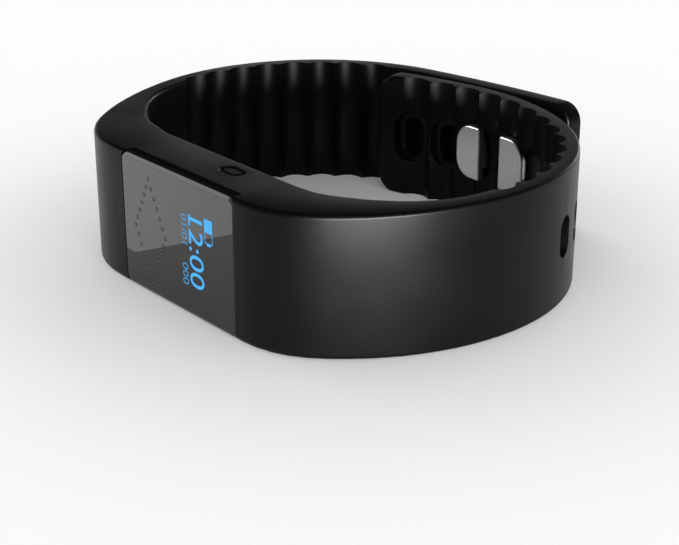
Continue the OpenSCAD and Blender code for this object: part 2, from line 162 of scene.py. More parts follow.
def add_block(low, high):
    """A block between two corners, in millimetres."""
    clear_selection()
    middle = [(a + b) / 2 * mm for a, b in zip(low, high)]
    bpy.ops.mesh.primitive_cube_add(size=1, location=middle)
    block = bpy.context.object
    block.scale = [(b - a) * mm for a, b in zip(low, high)]
    return settle(block)


def add_rod(radius, length, middle, axis="Z", sides=32):
    """A round rod along Z or along Y, in millimetres."""
    clear_selection()
    turn = (pi / 2, 0, 0) if axis == "Y" else (0, 0, 0)
    bpy.ops.mesh.primitive_cylinder_add(vertices=sides, radius=radius * mm, depth=length * mm,
                                        location=[c * mm for c in middle], rotation=turn)
    return settle(bpy.context.object)


def edit(piece, kind="VERT"):
    take(piece)
    bpy.ops.object.mode_set(mode="EDIT")
    bpy.ops.mesh.select_mode(type=kind)
    bpy.ops.mesh.select_all(action="DESELECT")


def done():
    bpy.ops.object.mode_set(mode="OBJECT")


def pick_verts(piece, test):
    """Picks points by a test on their place."""
    bm = bmesh.from_edit_mesh(piece.data)
    bpy.ops.mesh.select_all(action="DESELECT")
    for v in bm.verts:
        if test(v.co / mm):
            v.select_set(True)
    bm.select_flush_mode()
    bmesh.update_edit_mesh(piece.data)


def pick_edges(piece, test):
    """Picks edges by a test on (one end, other end, the edge)."""
    bm = bmesh.from_edit_mesh(piece.data)
    bm.normal_update()
    bpy.ops.mesh.select_all(action="DESELECT")
    for e in bm.edges:
        if test(e.verts[0].co / mm, e.verts[1].co / mm, e):
            e.select_set(True)
    bmesh.update_edit_mesh(piece.data)


def pick_faces(piece, test):
    """Picks faces by a test on (middle, normal)."""
    bm = bmesh.from_edit_mesh(piece.data)
    bm.normal_update()
    bpy.ops.mesh.select_all(action="DESELECT")
    for f in bm.faces:
        if test(f.calc_center_median() / mm, f.normal):
            f.select_set(True)
    bmesh.update_edit_mesh(piece.data)


def round_edges(offset, segments):
    """Rounds the picked edges."""
    bpy.ops.mesh.bevel(offset=offset * mm, segments=segments, profile=0.5, affect="EDGES",
                       clamp_overlap=True)


def apply_modifier(piece, kind, **values):
    take(piece)
    modifier = piece.modifiers.new(kind.lower(), kind)
    for key, value in values.items():
        setattr(modifier, key, value)
    bpy.ops.object.modifier_apply(modifier=modifier.name)
    return piece


def carve(piece, cutter):
    """Cuts one closed shape out of another and throws the cutter away."""
    apply_modifier(piece, "BOOLEAN", operation="DIFFERENCE", object=cutter, solver="EXACT")
    bpy.data.objects.remove(cutter, do_unlink=True)


def copy_of(piece, name=None):
    clear_selection()
    other = piece.copy()
    other.data = piece.data.copy()
    bpy.context.collection.objects.link(other)
    if name:
        other.name = name
        other.data.name = name
    return other


def join(pieces, name=None):
    clear_selection()
    for p in pieces:
        p.select_set(True)
    bpy.context.view_layer.objects.active = pieces[0]
    if len(pieces) > 1:
        bpy.ops.object.join()
    if name:
        pieces[0].name = name
        pieces[0].data.name = name
    return pieces[0]


def smooth(piece, angle=35):
    take(piece)
    bpy.ops.object.shade_smooth_by_angle(angle=radians(angle))
    return piece


def close_up(piece):
    """Merges doubled points, drops slivers and closes any seam that a cut left open."""
    sliver = 0.002 * mm
    edit(piece)
    bpy.ops.mesh.select_all(action="SELECT")
    bpy.ops.mesh.remove_doubles(threshold=sliver)
    bpy.ops.mesh.dissolve_degenerate(threshold=sliver)
    bpy.ops.mesh.select_all(action="SELECT")
    bpy.ops.mesh.fill_holes(sides=0)
    bpy.ops.mesh.select_all(action="SELECT")
    bpy.ops.mesh.normals_make_consistent(inside=False)
    done()
    return piece


def soften_normals(piece):
    return apply_modifier(piece, "WEIGHTED_NORMAL", keep_sharp=True, weight=60)


# ---------------------------------------------------------------- finishes
# sockets of a mix node: its two numbers, and its two colours and their result
NUMBER_A, NUMBER_B = 2, 3
COLOUR_A, COLOUR_B, COLOUR_OUT = 6, 7, 2


def new_group(name, inputs, outputs):
    group = bpy.data.node_groups.new(name, "ShaderNodeTree")
    for title, kind, value in inputs:
        socket = group.interface.new_socket(title, in_out="INPUT", socket_type=kind)
        if value is not None:
            socket.default_value = value
    for title, kind in outputs:
        group.interface.new_socket(title, in_out="OUTPUT", socket_type=kind)
    return group, group.nodes.new("NodeGroupInput"), group.nodes.new("NodeGroupOutput")


def wire(tree, a, a_socket, b, b_socket):
    tree.links.new(a.outputs[a_socket], b.inputs[b_socket])


def add_math(tree, operation):
    node = tree.nodes.new("ShaderNodeMath")
    node.operation = operation
    return node


def add_colour_mix(tree, one, other):
    """A mix of two colours, one of which may be left to be wired."""
    mix = tree.nodes.new("ShaderNodeMix")
    mix.data_type = "RGBA"
    for socket, colour in ((COLOUR_A, one), (COLOUR_B, other)):
        if colour is not None:
            mix.inputs[socket].default_value = (*colour, 1)
    return mix


def per_size(group, ins):
    """Turns the group's Size, in millimetres, into a texture's scale."""
    scale = add_math(group, "DIVIDE")
    scale.inputs[0].default_value = 1000.0
    wire(group, ins, "Size", scale, 1)
    return scale


def make_fine_grain():
    """Fine moulded grain: a height for a bump and a slow change of tone."""
    group, ins, outs = new_group(
        "fine_grain",
        [("Size", "NodeSocketFloat", 0.3), ("Coarse", "NodeSocketFloat", 0.3)],
        [("Height", "NodeSocketFloat"), ("Tone", "NodeSocketFloat")])
    place = group.nodes.new("ShaderNodeTexCoord")
    scale = per_size(group, ins)
    fine = group.nodes.new("ShaderNodeTexNoise")
    fine.inputs["Detail"].default_value = 3.0
    fine.inputs["Roughness"].default_value = 0.6
    wire(group, place, "Object", fine, "Vector")
    wire(group, scale, 0, fine, "Scale")
    slow = group.nodes.new("ShaderNodeTexNoise")
    slow.inputs["Scale"].default_value = 90.0
    slow.inputs["Detail"].default_value = 2.0
    wire(group, place, "Object", slow, "Vector")
    mix = group.nodes.new("ShaderNodeMix")
    wire(group, ins, "Coarse", mix, 0)
    wire(group, fine, 0, mix, NUMBER_A)
    wire(group, slow, 0, mix, NUMBER_B)
    wire(group, mix, 0, outs, "Height")
    wire(group, slow, 0, outs, "Tone")
    return group


def make_dust():
    """Sparse specks of lint and dust, as a mask."""
    group, ins, outs = new_group(
        "dust_specks",
        [("Amount", "NodeSocketFloat", 0.04), ("Size", "NodeSocketFloat", 0.5)],
        [("Mask", "NodeSocketFloat")])
    place = group.nodes.new("ShaderNodeTexCoord")
    scale = per_size(group, ins)
    cells = group.nodes.new("ShaderNodeTexVoronoi")
    wire(group, place, "Object", cells, "Vector")
    wire(group, scale, 0, cells, "Scale")
    near = add_math(group, "LESS_THAN")
    wire(group, cells, "Distance", near, 0)
    wire(group, ins, "Amount", near, 1)
    wire(group, near, 0, outs, "Mask")
    return group


def make_worn_edge():
    """A mask along sharp outer edges."""
    group, ins, outs = new_group(
        "worn_edge",
        [("Reach", "NodeSocketFloat", 0.08)],
        [("Mask", "NodeSocketFloat")])
    shape = group.nodes.new("ShaderNodeNewGeometry")
    low = add_math(group, "SUBTRACT")
    low.inputs[1].default_value = 0.5
    wire(group, shape, "Pointiness", low, 0)
    share = add_math(group, "DIVIDE")
    share.use_clamp = True
    wire(group, low, 0, share, 0)
    wire(group, ins, "Reach", share, 1)
    wire(group, share, 0, outs, "Mask")
    return group


def make_brushed():
    """Fine scratches along one direction, as a height and a roughness change."""
    group, ins, outs = new_group(
        "brushed_lines",
        [("Direction", "NodeSocketVector", (40.0, 40.0, 2.0)),
         ("Scale", "NodeSocketFloat", 120.0)],
        [("Height", "NodeSocketFloat"), ("Change", "NodeSocketFloat")])
    place = group.nodes.new("ShaderNodeTexCoord")
    stretch = group.nodes.new("ShaderNodeVectorMath")
    stretch.operation = "MULTIPLY"
    wire(group, place, "Object", stretch, 0)
    wire(group, ins, "Direction", stretch, 1)
    lines = group.nodes.new("ShaderNodeTexNoise")
    lines.inputs["Detail"].default_value = 4.0
    wire(group, stretch, 0, lines, "Vector")
    wire(group, ins, "Scale", lines, "Scale")
    wire(group, lines, 0, outs, "Height")
    wire(group, lines, 0, outs, "Change")
    return group


FINE_GRAIN = make_fine_grain()
DUST = make_dust()
WORN_EDGE = make_worn_edge()
BRUSHED = make_brushed()


def new_finish(name, colour, roughness, metallic=0.0, **more):
    finish = bpy.data.materials.new(name)
    finish.use_nodes = True
    shader = finish.node_tree.nodes["Principled BSDF"]
    shader.inputs["Base Color"].default_value = (*colour, 1)
    shader.inputs["Roughness"].default_value = roughness
    shader.inputs["Metallic"].default_value = metallic
    for key, value in more.items():
        shader.inputs[key.replace("_", " ")].default_value = value
    return finish, finish.node_tree, shader


def place_group(tree, group, **values):
    node = tree.nodes.new("ShaderNodeGroup")
    node.node_tree = group
    for key, value in values.items():
        node.inputs[key].default_value = value
    return node


def two_tones(tree, shader, mask, mask_socket, one, other):
    mix = add_colour_mix(tree, one, other)
    wire(tree, mask, mask_socket, mix, 0)
    wire(tree, mix, COLOUR_OUT, shader, "Base Color")
    return mix


def add_bump(tree, shader, source, socket, strength, depth):
    bump = tree.nodes.new("ShaderNodeBump")
    bump.inputs["Strength"].default_value = strength
    bump.inputs["Distance"].default_value = depth * mm
    wire(tree, source, socket, bump, "Height")
    wire(tree, bump, 0, shader, "Normal")


def vary_roughness(tree, shader, source, socket, low, high):
    spread = tree.nodes.new("ShaderNodeMapRange")
    spread.inputs["To Min"].default_value = low
    spread.inputs["To Max"].default_value = high
    spread.inputs["From Min"].default_value = 0.3
    spread.inputs["From Max"].default_value = 0.7
    wire(tree, source, socket, spread, "Value")
    wire(tree, spread, 0, shader, "Roughness")


def grained(name, colour, roughness, size=0.3, depth=0.02, tone=0.15, **more):
    """Moulded plastic or rubber with a fine grain and a slow change of tone."""
    finish, tree, shader = new_finish(name, colour, roughness, **more)
    grain = place_group(tree, FINE_GRAIN, Size=size)
    two_tones(tree, shader, grain, "Tone", [c * (1 - tone) for c in colour],
              [c * (1 + tone) for c in colour])
    vary_roughness(tree, shader, grain, "Tone", roughness - 0.06, roughness + 0.06)
    add_bump(tree, shader, grain, "Height", 0.5, depth)
    return finish


def metal(name, colour, roughness, direction=(40.0, 40.0, 2.0), depth=0.006, **more):
    """Brushed metal with brighter rubbed edges."""
    finish, tree, shader = new_finish(name, colour, roughness, 1.0, **more)
    lines = place_group(tree, BRUSHED, Direction=direction)
    wear = place_group(tree, WORN_EDGE, Reach=0.1)
    two_tones(tree, shader, wear, "Mask", colour, [min(1, c * 1.35) for c in colour])
    vary_roughness(tree, shader, lines, "Change", roughness - 0.07, roughness + 0.1)
    add_bump(tree, shader, lines, "Height", 0.35, depth)
    return finish


def make_silicone():
    """Dull black rubber with a fine grain and a little dust."""
    finish, tree, shader = new_finish("silicone", (0.002, 0.002, 0.0021), 0.35,
                                      Specular_IOR_Level=0.11)
    grain = place_group(tree, FINE_GRAIN, Size=0.22, Coarse=0.15)
    dust = place_group(tree, DUST, Amount=0.035, Size=0.9)
    tone = two_tones(tree, shader, grain, "Tone", (0.0016, 0.0016, 0.0017),
                     (0.0026, 0.0026, 0.0027))
    dusty = add_colour_mix(tree, None, (0.05, 0.05, 0.048))
    wire(tree, dust, "Mask", dusty, 0)
    wire(tree, tone, COLOUR_OUT, dusty, COLOUR_A)
    wire(tree, dusty, COLOUR_OUT, shader, "Base Color")
    vary_roughness(tree, shader, grain, "Tone", 0.32, 0.39)
    add_bump(tree, shader, grain, "Height", 0.45, 0.02)
    return finish


def make_lens_finish():
    """Dark smoked plastic under a clear gloss coat."""
    finish, tree, shader = new_finish("smoked_lens", (0.004, 0.0041, 0.0045), 0.09,
                                      Specular_IOR_Level=0.0)
    shader.inputs["Coat Weight"].default_value = 1.0
    shader.inputs["Coat Roughness"].default_value = 0.03
    shader.inputs["Coat IOR"].default_value = 1.45
    grain = place_group(tree, FINE_GRAIN, Size=6.0, Coarse=0.5)
    vary_roughness(tree, shader, grain, "Tone", 0.06, 0.13)
    add_bump(tree, shader, grain, "Height", 0.05, 0.01)
    return finish


def make_glow(name, colour, strength):
    """The readout's light, a little uneven."""
    finish, tree, shader = new_finish(name, (0.01, 0.03, 0.05), 0.3)
    shader.inputs["Emission Strength"].default_value = strength
    grain = place_group(tree, FINE_GRAIN, Size=0.25, Coarse=0.4)
    mix = add_colour_mix(tree, [c * 0.82 for c in colour], colour)
    wire(tree, grain, "Height", mix, 0)
    wire(tree, mix, COLOUR_OUT, shader, "Emission Color")
    return finish


SILICONE = make_silicone()
LENS_FINISH = make_lens_finish()
GLOW = make_glow("readout_blue", (0.02, 0.38, 0.85), 1.1)
GLOW_SMALL = make_glow("readout_blue_small", (0.015, 0.30, 0.70), 0.75)
# the light centre of each dimple: a painted highlight
DIMPLE_PAINTED_HIGHLIGHT = grained("dimple_painted_highlight", (0.16, 0.16, 0.162), 0.4, size=0.2, depth=0.002)
FRAME_BLACK = grained("frame_black", (0.003, 0.003, 0.0033), 0.16, size=0.6, depth=0.0008,
                      Specular_IOR_Level=0.25)
DIMPLE_DARK = grained("dimple_dark", (0.003, 0.003, 0.0032), 0.45, size=0.2, depth=0.004,
                      Specular_IOR_Level=0.0)
STEEL = metal("brushed_steel", (0.42, 0.42, 0.425), 0.33)

FINISHES = {
    "frame_black": FRAME_BLACK,
    "steel": STEEL,
    "electrode": metal("electrode_film", (0.62, 0.36, 0.12), 0.4, depth=0.002),
    "display": grained("panel_glass", (0.01, 0.014, 0.022), 0.12, size=2.0, depth=0.002),
    "foam": grained("pad_foam", (0.09, 0.09, 0.092), 0.85, size=0.35, depth=0.08),
    "flex_film": grained("ribbon_film", (0.42, 0.19, 0.04), 0.35, size=0.8, depth=0.006),
    "core_plastic": grained("core_plastic", (0.022, 0.022, 0.024), 0.5, size=0.25, depth=0.02),
    "seal": grained("seal_rubber", (0.35, 0.045, 0.03), 0.6, size=0.3, depth=0.01),
    "screw": metal("screw_steel", (0.5, 0.5, 0.5), 0.3, direction=(30.0, 4.0, 30.0)),
    "gold": metal("contact_gold", (0.75, 0.5, 0.18), 0.25, direction=(12.0, 2.0, 12.0)),
    "board": grained("board_green", (0.012, 0.075, 0.03), 0.4, size=0.6, depth=0.02),
    "chip": grained("chip_black", (0.013, 0.013, 0.014), 0.5, size=0.15, depth=0.01),
    "crystal": metal("crystal_can", (0.6, 0.6, 0.61), 0.28),
    "antenna": grained("antenna_ceramic", (0.62, 0.6, 0.55), 0.45, size=0.2, depth=0.006),
    "battery": grained("battery_foil", (0.48, 0.49, 0.5), 0.36, size=1.2, depth=0.03,
                       metallic=0.8),
    "tape": grained("tape_paper", (0.6, 0.52, 0.28), 0.6, size=0.6, depth=0.01),
    "nickel": metal("nickel_tab", (0.6, 0.58, 0.54), 0.35),
    "motor_steel": metal("motor_steel", (0.5, 0.5, 0.51), 0.3, direction=(3.0, 3.0, 50.0)),
    "tungsten": metal("weight_metal", (0.3, 0.29, 0.28), 0.5),
    "switch_plastic": grained("switch_plastic", (0.5, 0.49, 0.44), 0.5, size=0.3, depth=0.006),
    "dome_metal": metal("dome_metal", (0.6, 0.52, 0.3), 0.25),
}


def finish_with(piece, finish):
    piece.data.materials.clear()
    piece.data.materials.append(finish)
    return piece


# ---------------------------------------------------------------- the silicone band, laid flat
# the floor of the shallow rings round the holes, the cuts that part the straps from the sleeve,
# and the key's place
RING_FLOOR = STRAP_T - RIB_H / 2 - 0.7
BUCKLE_CUT = BUCKLE_END - (BUCKLE_FLEX - 8)
HOLE_CUT = HOLE_ZERO + HOLE_FLEX - 7
KEY_X = LENS_AT + 4.3
KEY_Y = 6.55
# radius of the long edges along the straps, and what the module's outer and inner edges add
STRAP_ROUND = 0.45
OUTER_EXTRA = 0.3
INNER_EXTRA = 0.65


def near_module(x):
    """1 up to 10 mm beyond the lens, fading to 0 in the next 22 mm of strap."""
    away = max(x - HOLE_ZERO, BUCKLE_END - x, 0)
    return 1 - min(1.0, max(0.0, (away - 10) / 22))


def flat_blank():
    """The band laid out straight: X along its outer face, Y inwards, Z across."""
    # the ends are drawn out in one step each, which leaves room to round their corners
    tip, corner, station = 3.4, 3.0, 1.2
    blank = add_block((tip, 0, 0), (BAND_L - tip, MODULE_T, BAND_W))
    edit(blank, "EDGE")
    pick_edges(blank, lambda a, b, e: abs(a.x - b.x) > 1)
    bpy.ops.mesh.subdivide(number_cuts=int((BAND_L - 2 * tip) / station), smoothness=0)
    # a station close to each side of the cuts keeps the parted ends true
    for x in (BUCKLE_CUT - 0.2, BUCKLE_CUT + 0.2, HOLE_CUT - 0.2, HOLE_CUT + 0.2):
        bpy.ops.mesh.select_all(action="SELECT")
        bpy.ops.mesh.bisect(plane_co=(x * mm, 0, 0), plane_no=(1, 0, 0))
    for end, way in ((tip, -1), (BAND_L - tip, 1)):
        bpy.ops.mesh.select_mode(type="FACE")
        pick_faces(blank, lambda c, n: abs(c.x - end) < CLOSE and abs(n.x) > 0.9)
        bpy.ops.mesh.extrude_region_move(
            TRANSFORM_OT_translate={"value": (way * tip * mm, 0, 0)})
    # thin the straps from the module towards both ends, one station after another
    bpy.ops.mesh.select_mode(type="VERT")
    bm = bmesh.from_edit_mesh(blank.data)
    for x in sorted({round(v.co.x / mm, 3) for v in bm.verts}):
        drop = thickness(x) - MODULE_T
        if drop < -0.001:
            pick_verts(blank, lambda c: abs(c.x - x) < CLOSE and c.y > MODULE_T - CLOSE)
            bpy.ops.transform.translate(value=(0, drop * mm, 0))
    # the corners of both ends
    bpy.ops.mesh.select_mode(type="EDGE")
    pick_edges(blank, lambda a, b, e: abs(a.y - b.y) > 1 and abs(a.x - b.x) < CLOSE
               and (a.x < CLOSE or a.x > BAND_L - CLOSE))
    round_edges(corner, 8)
    done()
    # the long edges: widely rounded round the module, finely along the straps
    rounding = blank.data.attributes.new("bevel_weight_edge", "FLOAT", "EDGE")
    bm = bmesh.new()
    bm.from_mesh(blank.data)
    for e in bm.edges:
        a, b = (v.co / mm for v in e.verts)
        up = [f.normal.y for f in e.link_faces]
        outer = a.y < CLOSE and b.y < CLOSE and min(up) < -0.9 and max(up) > -0.3
        inner = a.y > 2 and b.y > 2 and max(up) > 0.7 and min(up) < 0.3
        if outer or inner:
            extra = OUTER_EXTRA if outer else INNER_EXTRA
            rounding.data[e.index].value = STRAP_ROUND + extra * near_module((a.x + b.x) / 2)
    bm.free()
    apply_modifier(blank, "BEVEL", width=mm, segments=5, limit_method="WEIGHT")
    return blank


def flute_cutters(places):
    """Round rods that lie side by side, in two sets so that no rod meets its neighbour."""
    overlap = 1.004
    half = RIB_PITCH * overlap / 2
    radius = (half ** 2 + RIB_H ** 2) / (2 * RIB_H)
    rods = [add_rod(radius, BAND_W + 4, (x, thickness(x) - RIB_H + radius, MID), sides=96)
            for x in places]
    return [join(rods[0::2]), join(rods[1::2])]


def slot_cutter(x, width, height, y0, y1):
    """An upright slot with round ends."""
    cutter = add_rod(width / 2, y1 - y0, (x, (y0 + y1) / 2, MID), axis="Y", sides=36)
    edit(cutter)
    for side in (1, -1):
        pick_verts(cutter, lambda c: (c.z - MID) * side > 0.05)
        bpy.ops.transform.translate(value=(0, 0, side * (height - width) / 2 * mm))
    done()
    return cutter


def rounded_block(low, high, corner, steps=6):
    """A block whose four edges along Y are rounded."""
    block = add_block(low, high)
    edit(block, "EDGE")
    pick_edges(block, lambda a, b, e: abs(a.y - b.y) > 0.5 * (high[1] - low[1])
               and abs(a.x - b.x) < CLOSE and abs(a.z - b.z) < CLOSE)
    round_edges(corner, steps)
    done()
    return block


band = flat_blank()
# the flutes of the hole strap are counted back from its plain tip, those of the buckle strap
# from the bend up to the hole strap's tip
HOLE_TIP_PLAIN = 4.7
HOLE_FLUTES_FROM = 37.5
BUCKLE_FLUTES_FROM = 43.4
BUCKLE_FLUTES_TO = PLATE_AT - 6 - 2.5 * HOLE_PITCH - 1
flutes = []
s = HOLE_END - HOLE_TIP_PLAIN - RIB_PITCH / 2
while s > HOLE_FLUTES_FROM:
    flutes.append(HOLE_ZERO + s)
    s -= RIB_PITCH
s = BUCKLE_FLUTES_FROM
while s < BUCKLE_FLUTES_TO:
    flutes.append(BUCKLE_END - s)
    s += RIB_PITCH
for cutter in flute_cutters(sorted(flutes)):
    carve(band, cutter)

# round the ribs that stand between the flutes
edit(band, "EDGE")
pick_edges(band, lambda a, b, e: abs(a.z - b.z) > 8 and a.y > 1.5 and len(e.link_faces) == 2
           and e.calc_face_angle(0) > radians(30))
round_edges(0.42, 4)
done()

# the adjusting holes: a shallow ring, then the slot through the strap
RING_SIZE = (6.0, 8.6)
SLOT_SIZE = (3.6, 6.2)
for size, floor_y in ((RING_SIZE, RING_FLOOR), (SLOT_SIZE, -2)):
    carve(band, join([slot_cutter(HOLE_ZERO + s, *size, floor_y, STRAP_T + 2)
                      for s in HOLES_AT]))


def is_slot_rim(a, b, e):
    """Whether an edge is the rim of a slot in the floor of its ring."""
    if abs(a.y - RING_FLOOR) > CLOSE or abs(b.y - RING_FLOOR) > CLOSE:
        return False
    up = [f.normal.y for f in e.link_faces]
    if len(up) != 2 or max(up) < 0.9 or abs(min(up)) > 0.1 or abs(a.z - MID) > 3.3:
        return False
    return any(abs(a.x - HOLE_ZERO - s) < 1.9 and abs(b.x - HOLE_ZERO - s) < 1.9
               for s in HOLES_AT)


edit(band, "EDGE")
pick_edges(band, is_slot_rim)
round_edges(0.3, 3)
done()

# the lens's room
carve(band, rounded_block((LENS_AT - LENS_W / 2 - 0.05, -1, -0.3),
                          (LENS_AT + LENS_W / 2 + 0.05, 2, BAND_W + 0.3), 1.5, 8))
# the core's room, the window of its cover and the seat of the clasp's plate: for each, the
# middle and half the length along the band, then its depths and its heights
plate_x = BUCKLE_END - PLATE_AT
for x, half_l, depths, heights in (
        (LENS_AT, 16.55, (1.9, 8.85), (1.55, 18.45)),
        (LENS_AT, 14.55, (7, 12), (2.95, 17.05)),
        (plate_x, 7.05, (STRAP_T - 0.85, STRAP_T + 2), (MID - 5.55, MID + 5.55))):
    carve(band, add_block((x - half_l, depths[0], heights[0]),
                          (x + half_l, depths[1], heights[1])))


def key_block(width, length, z0, z1, sides=40):
    """An upright bar with round ends, its long side along the band."""
    bar = add_rod(width / 2, z1 - z0, (KEY_X, KEY_Y, (z0 + z1) / 2), sides=sides)
    edit(bar)
    for side in (1, -1):
        pick_verts(bar, lambda c: (c.x - KEY_X) * side > 0.02)
        bpy.ops.transform.translate(value=(side * (length - width) / 2 * mm, 0, 0))
    done()
    return bar


# a dish with sloping sides, and in its middle the key's shaft
dish = key_block(2.3, 4.1, BAND_W - 0.28, BAND_W + 0.3)
edit(dish)
pick_verts(dish, lambda c: c.z > BAND_W)
bpy.ops.transform.resize(value=(1.28, 1.45, 1))
done()
carve(band, dish)
carve(band, key_block(1.95, 3.65, 17, BAND_W + 1))


def bend_line():
    """The band's outer line, bent as it is worn, for the flat band to follow."""
    curve = bpy.data.curves.new("bend_line", "CURVE")
    curve.dimensions = "3D"
    curve.twist_mode = "Z_UP"
    step = 0.5
    points = []
    count = int(BUCKLE_END / step)
    for i in range(count, 0, -1):
        x, y, _ = on_line(BUCKLE_LINE, BUCKLE_END * i / count)
        points.append((-x, y))
    count = int(LENS_W / step)
    for i in range(count + 1):
        points.append((-LENS_W / 2 + LENS_W * i / count, 0.0))
    count = int(HOLE_END / step)
    for i in range(1, count + 1):
        x, y, _ = on_line(HOLE_LINE, HOLE_END * i / count)
        points.append((x, y))
    spline = curve.splines.new("POLY")
    spline.points.add(len(points) - 1)
    for point, (x, y) in zip(spline.points, points):
        point.co = ((x + PLAN_X) * mm, (y + PLAN_Y) * mm, 0, 1)
    line = bpy.data.objects.new("bend_line", curve)
    bpy.context.collection.objects.link(line)
    return line


def part_of_band(name, x0, x1):
    """One stretch of the flat band, cut off square at x0 and x1."""
    piece = copy_of(band, name)
    if x0 is not None:
        carve(piece, add_block((-5, -5, -5), (x0, MODULE_T + 5, BAND_W + 5)))
    if x1 is not None:
        carve(piece, add_block((x1, -5, -5), (BAND_L + 5, MODULE_T + 5, BAND_W + 5)))
    return piece


# ---------------------------------------------------------------- the clasp
# the gap between the heads, a head's width, height and thickness, and how far from the
# strap's outer face it starts
HEAD_GAP, HEAD_W, HEAD_H, HEAD_T = 4.5, 5.3, 8.7, 1.3
HEAD_N = STRAP_T - 0.65


def to_clasp(piece):
    """Moves a piece from the clasp's own axes to its place on the strap."""
    piece.rotation_euler = (0, 0, clasp_turn)
    piece.location = ((clasp_x + PLAN_X) * mm, (clasp_y + PLAN_Y) * mm, 0)
    return settle(piece)


def head_block(side, grow, y1):
    """A stud's head: flat towards the other stud, its two outer corners rounded."""
    near, far = HEAD_GAP / 2 - grow, HEAD_GAP / 2 + HEAD_W + grow
    x0, x1 = (near, far) if side > 0 else (-far, -near)
    head = add_block((x0, HEAD_N - grow, MID - HEAD_H / 2 - grow),
                     (x1, y1, MID + HEAD_H / 2 + grow))
    edit(head, "EDGE")
    for reach, corner, steps in ((far, 3.2, 12), (near, 0.4, 3)):
        pick_edges(head, lambda a, b, e: abs(a.y - b.y) > 0.5 and abs(abs(a.x) - reach) < CLOSE
                   and abs(abs(b.x) - reach) < CLOSE)
        round_edges(corner, steps)
    done()
    return head


def make_stud(side, name):
    """A D-shaped head on its post."""
    head = head_block(side, 0, HEAD_N + HEAD_T)
    edit(head, "EDGE")
    for level, size in ((HEAD_N + HEAD_T, 0.3), (HEAD_N, 0.15)):
        pick_edges(head, lambda a, b, e: abs(a.y - level) < CLOSE
                   and abs(b.y - level) < CLOSE)
        round_edges(size, 4)
    done()
    x0, x1 = sorted((side * HEAD_GAP / 2, side * (HEAD_GAP / 2 + 2.3)))
    post = rounded_block((x0, -1.2, MID - 2.5), (x1, HEAD_N + 0.1, MID + 2.5), 0.35, 3)
    stud = to_clasp(join([head, post], name))
    return finish_with(soften_normals(smooth(stud, 32)), STEEL)


# ---------------------------------------------------------------- bend, part and fit the silicone
sleeve = part_of_band("sleeve_silicone", BUCKLE_CUT, HOLE_CUT)
buckle_strap = part_of_band("buckle_strap_silicone", None, BUCKLE_CUT)
hole_strap = part_of_band("hole_strap_silicone", HOLE_CUT, None)
line = bend_line()
for piece in (sleeve, buckle_strap, hole_strap):
    apply_modifier(piece, "CURVE", object=line, deform_axis="POS_X")
for side in (1, -1):
    carve(hole_strap, to_clasp(head_block(side, 0.1, STRAP_T + 3)))
for piece in (sleeve, buckle_strap, hole_strap):
    finish_with(smooth(close_up(piece), 40), SILICONE)
bpy.data.objects.remove(band, do_unlink=True)
bpy.data.objects.remove(line, do_unlink=True)
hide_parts("band_sleeve")
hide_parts("buckle_strap")
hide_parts("hole_strap")
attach(sleeve, "module")


def plan_point(plan, s, mirrored=False):
    """A point in the middle of the strap's thickness, in metres."""
    x, y, turn = on_line(plan, s)
    x, y = x - STRAP_T / 2 * sin(turn), y + STRAP_T / 2 * cos(turn)
    return ((-x if mirrored else x) + PLAN_X) * mm, (y + PLAN_Y) * mm, MID * mm


plan_point(BUCKLE_LINE, BUCKLE_FLEX - 8, True)
plan_point(BUCKLE_LINE, BUCKLE_FLEX + 8, True)
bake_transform(buckle_strap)
plan_point(HOLE_LINE, HOLE_FLEX - 7)
plan_point(HOLE_LINE, HOLE_FLEX + 7)
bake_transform(hole_strap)

studs = []
for side, name in ((1, "left_stud"), (-1, "right_stud")):
    stud = make_stud(side, name + "_steel")
    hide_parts(name)
    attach(stud, "buckle_side")
    studs.append(stud)

# ---------------------------------------------------------------- lens, touch mark and readout
FRONT = PLAN_Y


def on_lens(x, z):
    """A place on the lens, measured from the middle of its lower edge, in millimetres."""
    return x + PLAN_X, z


LENS_CORNER = 1.2
lens = rounded_block((PLAN_X - LENS_W / 2, FRONT, 0), (PLAN_X + LENS_W / 2, FRONT + 1, BAND_W),
                     LENS_CORNER, 8)
# its front edge is rounded widely along the top and the bottom, and finely down the sides
EDGE_ROUND, SIDE_SHARE = 0.8, 0.25
rounding = lens.data.attributes.new("bevel_weight_edge", "FLOAT", "EDGE")
for rim in lens.data.edges:
    a, b = (lens.data.vertices[i].co / mm for i in rim.vertices)
    if max(a.y, b.y) < FRONT + CLOSE:
        past_corner = abs((a.x + b.x) / 2 - PLAN_X) - LENS_W / 2 + LENS_CORNER
        out = max(0.0, past_corner) / LENS_CORNER
        rounding.data[rim.index].value = 1 - (1 - SIDE_SHARE) * out ** 2
apply_modifier(lens, "BEVEL", width=EDGE_ROUND * mm, segments=6, limit_method="WEIGHT")
lens.name = "smoked_lens"
finish_with(soften_normals(smooth(lens, 40)), LENS_FINISH)
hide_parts("front_lens")
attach(lens, "module")
